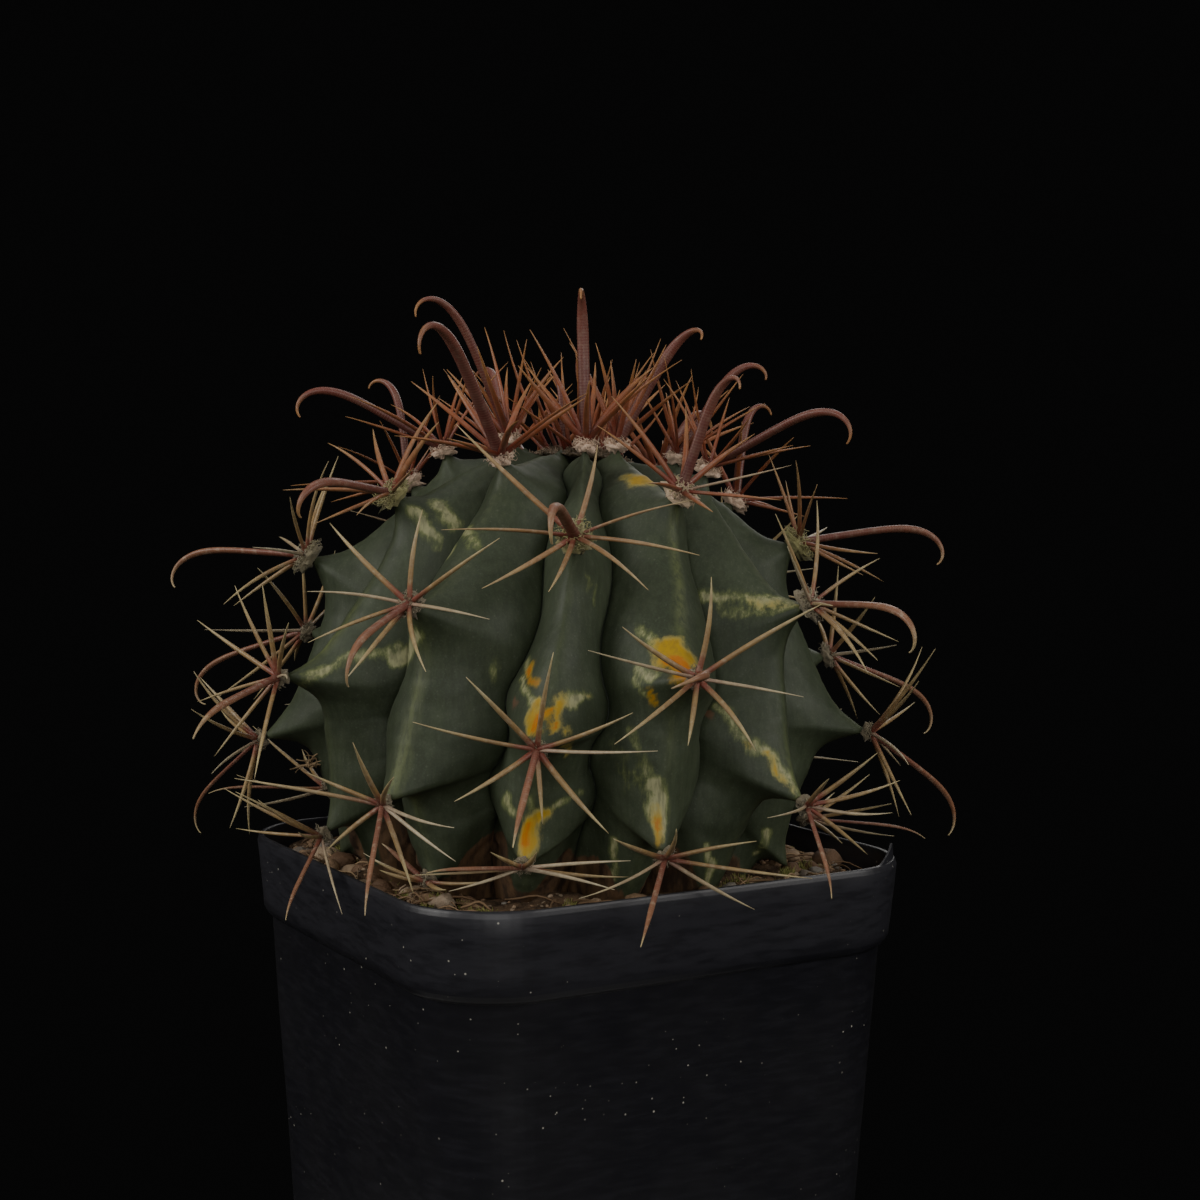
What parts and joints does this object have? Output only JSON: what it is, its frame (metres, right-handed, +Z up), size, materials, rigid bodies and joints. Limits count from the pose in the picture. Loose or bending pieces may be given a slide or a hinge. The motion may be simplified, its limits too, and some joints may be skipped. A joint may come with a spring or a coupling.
{
  "type": "potted barrel cactus",
  "caption": "Ribbed variegated barrel cactus with hooked central spines and spreading radial spines, rooted in gravelly soil in a square plastic nursery pot.",
  "frame": {"origin": "centre of the pot's flat base, on the surface it stands on", "axes": "+Z up; X and Y square to the pot's sides; the picture looks from -Y and -X, towards the corner where they meet"},
  "size_m": [0.1644, 0.1585, 0.1994],
  "materials": {
    "pot": "near-black satin polypropylene with faint streaks and dust",
    "soil": "dry brown potting soil with tan gravel, moss bits and fibres",
    "stem": "waxy grey-green skin with lighter crests and cream, yellow and orange variegation, corky brown at the soil",
    "spines": "ringed horny spines, red at the root and tan to cream at the tip, over pale wool",
    "crown": "cream-pink wool with young red to orange spines"
  },
  "bodies": {
    "root": {"areole_rib0_step100": "spines", "areole_rib0_step200": "spines", "areole_rib0_step22": "spines", "areole_rib0_step300": "spines", "areole_rib10_step185": "spines", "areole_rib10_step285": "spines", "areole_rib10_step85": "spines", "areole_rib11_step123": "spines", "areole_rib11_step223": "spines", "areole_rib11_step23": "spines", "areole_rib11_step323": "spines", "areole_rib12_step-10": "spines", "areole_rib12_step162": "spines", "areole_rib12_step262": "spines", "areole_rib12_step62": "spines", "areole_rib1_step138": "spines", "areole_rib1_step238": "spines", "areole_rib1_step338": "spines", "areole_rib1_step38": "spines", "areole_rib2_step177": "spines", "areole_rib2_step277": "spines", "areole_rib2_step77": "spines", "areole_rib3_step115": "spines", "areole_rib3_step215": "spines", "areole_rib3_step315": "spines", "areole_rib4_step154": "spines", "areole_rib4_step254": "spines", "areole_rib4_step54": "spines", "areole_rib5_step192": "spines", "areole_rib5_step292": "spines", "areole_rib5_step92": "spines", "areole_rib6_step131": "spines", "areole_rib6_step231": "spines", "areole_rib6_step331": "spines", "areole_rib7_step169": "spines", "areole_rib7_step269": "spines", "areole_rib7_step69": "spines", "areole_rib8_step108": "spines", "areole_rib8_step208": "spines", "areole_rib8_step308": "spines", "areole_rib9_step146": "spines", "areole_rib9_step246": "spines", "areole_rib9_step46": "spines", "crown": "crown", "pot": "pot", "soil": "soil", "stem": "stem"}
  },
  "joints": []
}
